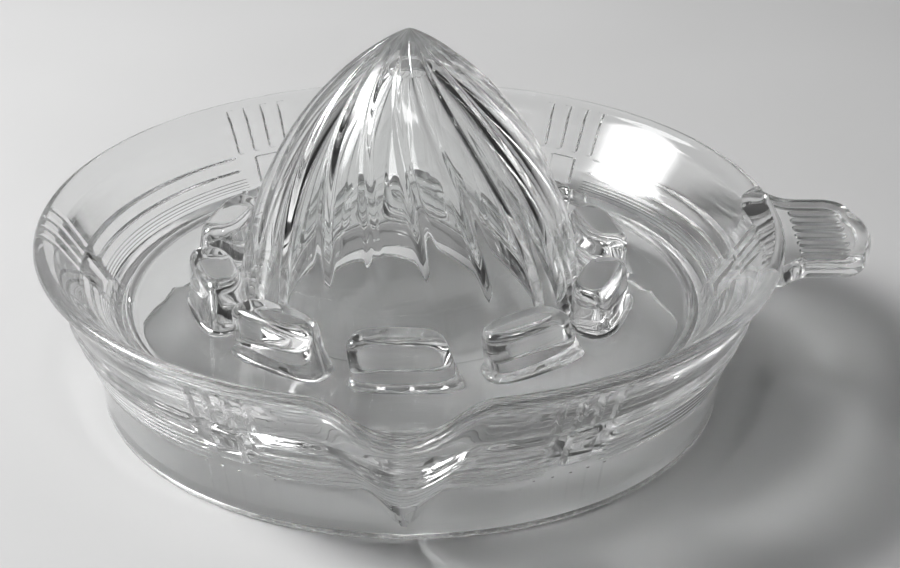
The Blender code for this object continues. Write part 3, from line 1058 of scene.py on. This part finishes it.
@dataclass
class Handle:
    """The flat tab handle with its raised edge and the grip ribs under it."""

    reach: float = 95.7 * MM
    width: float = 30.8 * MM
    thickness: float = 4.6 * MM
    drop: float = 1.4 * MM
    corner: float = 6.5 * MM
    least_corner: float = 0.4 * MM
    crown: float = 2.2 * MM
    root_radius: float = 74.2 * MM
    root_start: float = 0.975
    root_flare: float = 4.2 * MM
    root_length: float = 6.5 * MM
    root_overlap: float = 2.0 * MM
    root_curve: float = 2.3
    edge_recess: float = 0.35 * MM
    grips: int = 7
    grip_pitch: float = 3.6 * MM
    grip_radius: float = 1.1 * MM
    grip_sink: float = 0.4 * MM
    grip_margin: float = 2.5 * MM
    grip_sides: int = 16

    def side(self, x: float, inset: float, dish: Dish) -> float:
        """Half the tab's width at a distance from the axis, wider where it grows out of the rim."""
        near = (dish.rim_radius + self.root_length - self.root_overlap - x) / self.root_length
        return self.width / 2 - inset + self.root_flare * clamp(near) ** self.root_curve

    def outline(self, inset: float, dish: Dish) -> list[Place]:
        """The tab's outline seen from above, with the same number of points for every inset.

        Args:
            inset: How far the outline stands in from the tab's edge.
            dish: The dish that the tab grows out of.

        Returns:
            The outline's points.
        """
        corner = max(self.corner - inset, self.least_corner)
        reach = self.reach - inset
        straight_end = reach - self.crown - corner
        half: list[Place] = []
        start = self.root_radius * self.root_start
        for step in range(14):
            x = start + (straight_end - start) * (step / 13) ** 0.9
            half.append((x, self.side(x, inset, dish)))
        level = self.width / 2 - inset - corner
        half += arc_places((straight_end, level), corner, 90, 0, 9)[1:]
        for share in (0.8, 0.6, 0.4, 0.2, 0.0):
            half.append((reach - self.crown * share ** 2, level * share))
        lower = [(x, -y) for x, y in half]
        root = []
        for step in range(1, 14):
            y = half[0][1] * (1 - 2 * step / 14)
            root.append((math.sqrt(self.root_radius ** 2 - y ** 2), y))
        return lower + half[-2::-1] + root

    def plate(self, dish: Dish) -> Item:
        """The tab itself: stacked outlines with round edges and shallow pads within a raised edge.

        Args:
            dish: The dish that the tab grows out of.

        Returns:
            The tab, still a separate body.
        """
        top = dish.rim_height - self.drop
        bottom = top - self.thickness
        recess = self.edge_recess
        edge = [(recess, 4.2), (recess, 3.4), (0.6 * recess, 2.8), (0.0, 2.1)]
        edge += [(0.06 * MM, 1.3), (0.42 * MM, 0.5), (1.2 * MM, 0.08)]
        levels = [(bottom + depth, inset) for depth, inset in edge]
        levels += [(bottom + self.thickness / 2, 0.0)]
        levels += [(top - depth, inset) for depth, inset in reversed(edge)]
        outlines = []
        for height, inset in levels:
            outlines.append([(x, y, height) for x, y in self.outline(inset * MM, dish)])
        return stacked("handle_tab_glass", outlines)

    def grip(self, dish: Dish, glass: Material) -> Item:
        """The row of half-round grip ribs under the tab.

        Args:
            dish: The dish that the tab grows out of.
            glass: Their material.

        Returns:
            The ribs, still a separate body.
        """
        middle = dish.rim_height - self.drop - self.thickness + self.grip_sink
        start = dish.rim_radius + self.grip_margin
        end = self.reach - self.crown - self.grip_margin
        stops = [(0.0, 0.05), (0.02, 0.45), (0.06, 0.78), (0.13, 0.96), (0.22, 1.0), (0.5, 1.0)]
        stops += [(1 - along, size) for along, size in reversed(stops[:-1])]
        wide = self.grip_radius
        turns = [math.tau * (step + 0.5) / self.grip_sides for step in range(self.grip_sides)]
        ring = [(wide * math.cos(turn), wide * math.sin(turn)) for turn in turns]
        outlines = []
        for along, size in stops:
            x = start + (end - start) * along
            outlines.append([(x, size * y, middle + size * z) for y, z in ring])
        grips = stacked("grip_ribs", outlines)
        values = {"Count": self.grips, "Spacing": self.grip_pitch, "Glass": glass}
        run_tree(grips, row_tree(), values)
        return grips


@dataclass
class Pressing:
    """The whole glass body, fused from its forms into one closed skin."""

    dish: Dish = field(default_factory=Dish)
    cone: Cone = field(default_factory=Cone)
    lugs: SeedLugs = field(default_factory=SeedLugs)
    ornament: Ornament = field(default_factory=Ornament)
    handle: Handle = field(default_factory=Handle)
    columns_per_flute: int = 24
    weld: float = 0.004 * MM
    sliver: float = 0.002 * MM
    sharp_angle: float = math.radians(38)

    def rows(self) -> list[Row]:
        """The outline from the cone's tip over the dish, under it and up the hollow.

        Returns:
            The rows.
        """
        cone, dish = self.cone, self.dish
        rows = cone.outer_rows(dish.floor_height) + dish.inner_rows() + dish.rim_rows()
        rows += dish.wall_rows() + dish.under_rows()
        return rows + cone.hollow_rows(dish.floor_height, dish.under_height)

    def lathe(self, glass: Material) -> Item:
        """Turns the outline around the axis, presses the lip in and then the flutes.

        Args:
            glass: The glass material.

        Returns:
            The closed body of dish and cone.
        """
        rows, cone = self.rows(), self.cone
        count = cone.flutes * self.columns_per_flute
        points: list[Point] = [(0.0, 0.0, cone.tip_height)]
        marks = [1.0]
        for row in rows:
            for column in range(count):
                azimuth = cone.phase + math.tau * column / count
                radius, height = self.dish.placed(row, azimuth)
                points.append((radius * math.cos(azimuth), radius * math.sin(azimuth), height))
                marks.append(row.cone)
        points.append((0.0, 0.0, cone.tip_height - cone.headroom))
        marks.append(0.0)
        faces: list[tuple[int, ...]] = []
        last = 1 + (len(rows) - 1) * count
        for column in range(count):
            following = (column + 1) % count
            faces.append((0, 1 + column, 1 + following))
            for high in range(1, last, count):
                low = high + count
                faces.append((high + column, low + column, low + following, high + following))
            faces.append((last + column, len(points) - 1, last + following))
        body = mesh_object("glass_reamer", points, faces)
        attribute = body.data.attributes.new("cone", "FLOAT", "POINT")
        attribute.data.foreach_set("value", marks)
        run_tree(body, flute_tree(), {
            "Flutes": cone.flutes, "Hollowing": cone.hollowing, "Ridge Height": cone.ridge_height,
            "Ridge Share": cone.ridge_share, "Fade Radius": cone.flute_fade, "Phase": cone.phase,
            "Twist": cone.twist, "Floor Height": self.dish.floor_height,
            "Tip Height": cone.tip_height, "Glass": glass,
        })
        return body

    def fuse(self, body: Item, extras: Sequence[Item]) -> None:
        """Joins other bodies to the lathed one, leaving one skin with no walls inside it.

        Args:
            body: The body that is kept.
            extras: The bodies that are joined to it and then removed.
        """
        for extra in extras:
            union = body.modifiers.new(extra.name, "BOOLEAN")
            union.operation = "UNION"
            union.solver = "MANIFOLD"
            union.object = extra
            bake_modifiers(body)
            bpy.data.objects.remove(extra, do_unlink=True)

    def tidy(self, body: Item) -> None:
        """Closes tiny seams, smooths the shading and moves the mesh onto the cone's axis.

        Args:
            body: The fused body.
        """
        build = bmesh.new()
        build.from_mesh(body.data)
        bmesh.ops.remove_doubles(build, verts=build.verts, dist=self.weld)
        bmesh.ops.dissolve_degenerate(build, edges=build.edges, dist=self.sliver)
        open_edges = sum(1 for edge in build.edges if len(edge.link_faces) != 2)
        build.transform(Matrix.Translation((*CONE_AXIS, 0.0)))
        build.to_mesh(body.data)
        build.free()
        body.data.shade_smooth()
        body.data.set_sharp_from_angle(angle=self.sharp_angle)
        body.data.calc_loop_triangles()
        triangles = len(body.data.loop_triangles)
        LOG.info("glass body: %d triangles, %d open edges", triangles, open_edges)

    def build(self, glass: Material) -> Item:
        """Builds the pressing and sets it on the frame's body.

        Args:
            glass: The glass material.

        Returns:
            The glass body.
        """
        body = self.lathe(glass)
        extras = [self.lugs.build(self.cone, self.dish, glass), self.handle.plate(self.dish)]
        extras += self.ornament.build(self.dish, glass)
        extras.append(self.handle.grip(self.dish, glass))
        self.fuse(body, extras)
        self.tidy(body)
        body.data.materials.clear()
        body.data.materials.append(glass)
        body.data.polygons.foreach_set("material_index", [0] * len(body.data.polygons))
        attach(body, "root")
        return body


# The studio


@dataclass
class Viewpoint:
    """The photograph's camera, in pixels of a 900 wide frame and in metres from the axis."""

    focal_pixels: float = 2200.2
    frame_width: int = 900
    sensor_width: float = 36.0
    near: float = 0.01
    far: float = 50.0
    pitch: float = 0.471688
    roll: float = -0.00583057
    distance: float = 0.463607
    target: Point = (8.29395 * MM, 0.0, 21.1536 * MM)

    def build(self) -> Item:
        """Creates the camera and makes it the scene's own.

        Returns:
            The camera object.
        """
        data = bpy.data.cameras.new("photo_view")
        data.sensor_fit = "HORIZONTAL"
        data.sensor_width = self.sensor_width
        data.lens = self.focal_pixels / self.frame_width * self.sensor_width
        data.clip_start = self.near
        data.clip_end = self.far
        camera = link_object("photo_view", data)
        back = Vector((0.0, -math.cos(self.pitch), math.sin(self.pitch)))
        right = Vector((1.0, 0.0, 0.0))
        down = (-back).cross(right)
        across = right * math.cos(self.roll) + down * math.sin(self.roll)
        fall = down * math.cos(self.roll) - right * math.sin(self.roll)
        place = Vector(self.target) + Vector((*CONE_AXIS, 0.0)) + back * self.distance
        turn = Matrix((across, -fall, back)).transposed()
        camera.matrix_world = Matrix.Translation(place) @ turn.to_4x4()
        bpy.context.scene.camera = camera
        return camera


@dataclass
class SoftLamp:
    """One rectangular soft light that aims at the reamer."""

    name: str
    place: Point
    width: float
    length: float
    power: float
    edge: float = 0.3

    def build(self, aim: Vector) -> Item:
        """Creates the lamp.

        Args:
            aim: The point that it faces.

        Returns:
            The lamp object.
        """
        data = bpy.data.lights.new(self.name, "AREA")
        data.shape = "RECTANGLE"
        data.size = self.width
        data.size_y = self.length
        data.energy = self.power
        self.soften(data)
        lamp = link_object(self.name, data)
        lamp.location = self.place
        lamp.rotation_euler = (aim - Vector(self.place)).to_track_quat("-Z", "Y").to_euler()
        return lamp

    def soften(self, data: bpy.types.Light) -> None:
        """Lets the lamp's glow fade towards its edges.

        Args:
            data: The lamp's light.
        """
        data.use_nodes = True
        wiring = Wiring(data.node_tree)
        across, along, _ = wiring.split(wiring.node("ShaderNodeNewGeometry").outputs["Parametric"])
        glow = []
        for side in (across, along):
            away = wiring.math("ABSOLUTE", wiring.math("SUBTRACT", side, 0.5))
            glow.append(wiring.ramp(away, 0.5, 0.5 - self.edge))
        wiring.fill(data.node_tree.nodes["Emission"], {"Strength": wiring.math("MULTIPLY", *glow)})


@dataclass
class Studio:
    """The table, the lamps and the plain room around them."""

    table_size: float = 6.0
    table_gap: float = 0.05 * MM
    aim_height: float = 0.02
    room_low: float = 0.015
    room_high: float = 0.05
    room_high_from: float = 0.8
    backdrop: float = 0.28
    pale_start: float = 0.55
    pale_full: float = 0.85
    pale_end: float = 0.05
    dim_start: float = 0.38
    pale_top: float = 0.9
    light_bounces: int = 64
    lamps: tuple[SoftLamp, ...] = (
        SoftLamp("window_left", (-0.83, 0.165, 0.70), 0.54, 0.50, 58.0, 0.5),
        SoftLamp("overhead_strip", (0.02, -0.37, 1.02), 0.09, 0.40, 1.4),
    )

    def table(self) -> Item:
        """The pale tabletop under the reamer.

        Returns:
            The tabletop.
        """
        half = self.table_size / 2
        corners = [(-half, -half), (half, -half), (half, half), (-half, half)]
        table = mesh_object("table", [(x, y, -self.table_gap) for x, y in corners], [(0, 1, 2, 3)])
        table.data.materials.append(MattTable().build())
        return table

    def room(self) -> None:
        """A plain grey room: dim in front and to the right, pale behind and to the left."""
        world = bpy.data.worlds.new("room")
        bpy.context.scene.world = world
        world.use_nodes = True
        wiring = Wiring(world.node_tree)
        x, y, height = wiring.split(wiring.node("ShaderNodeTexCoord").outputs["Generated"])
        level = wiring.vector(x, y, 0.0)
        bearing = wiring.fed("ShaderNodeVectorMath", level, operation="NORMALIZE")
        to_right, to_back, _ = wiring.split(bearing)
        behind = wiring.ramp(to_back, self.pale_start, self.pale_full, 0.0, self.backdrop)
        leftward = wiring.ramp(to_right, self.pale_end, self.dim_start, 1.0, 0.0)
        lower = wiring.ramp(height, self.pale_top, 1.0, 1.0, 0.0)
        pale = wiring.math("MULTIPLY", wiring.math("MULTIPLY", behind, leftward), lower)
        plain = wiring.ramp(height, 0.0, self.room_high_from, self.room_low, self.room_high)
        light = {"Color": (1.0, 1.0, 1.0, 1.0), "Strength": wiring.math("ADD", pale, plain)}
        wiring.fill(world.node_tree.nodes["Background"], light)

    def build(self) -> None:
        """Builds the table, the room and the lamps."""
        self.table()
        self.room()
        aim = Vector((*CONE_AXIS, self.aim_height))
        for lamp in self.lamps:
            lamp.build(aim)
            LOG.info("lamp %s: %.1f W", lamp.name, lamp.power)
        scene = bpy.context.scene
        scene.view_settings.view_transform = "Standard"
        scene.cycles.blur_glossy = 0.0
        scene.cycles.max_bounces = self.light_bounces
        scene.cycles.transmission_bounces = self.light_bounces
        scene.cycles.glossy_bounces = self.light_bounces


def main() -> None:
    """Loads the frame, builds every piece in order and hides the frame's own parts."""
    logging.basicConfig(level=logging.INFO, format="%(name)s: %(message)s")
    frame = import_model()
    Viewpoint().build()
    glass = PressedGlass().build()
    body = Pressing().build(glass)
    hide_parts(*frame["nodes"])
    LOG.info("placed %s on the frame", body.name)
    Studio().build()


if __name__ == "__main__":
    main()
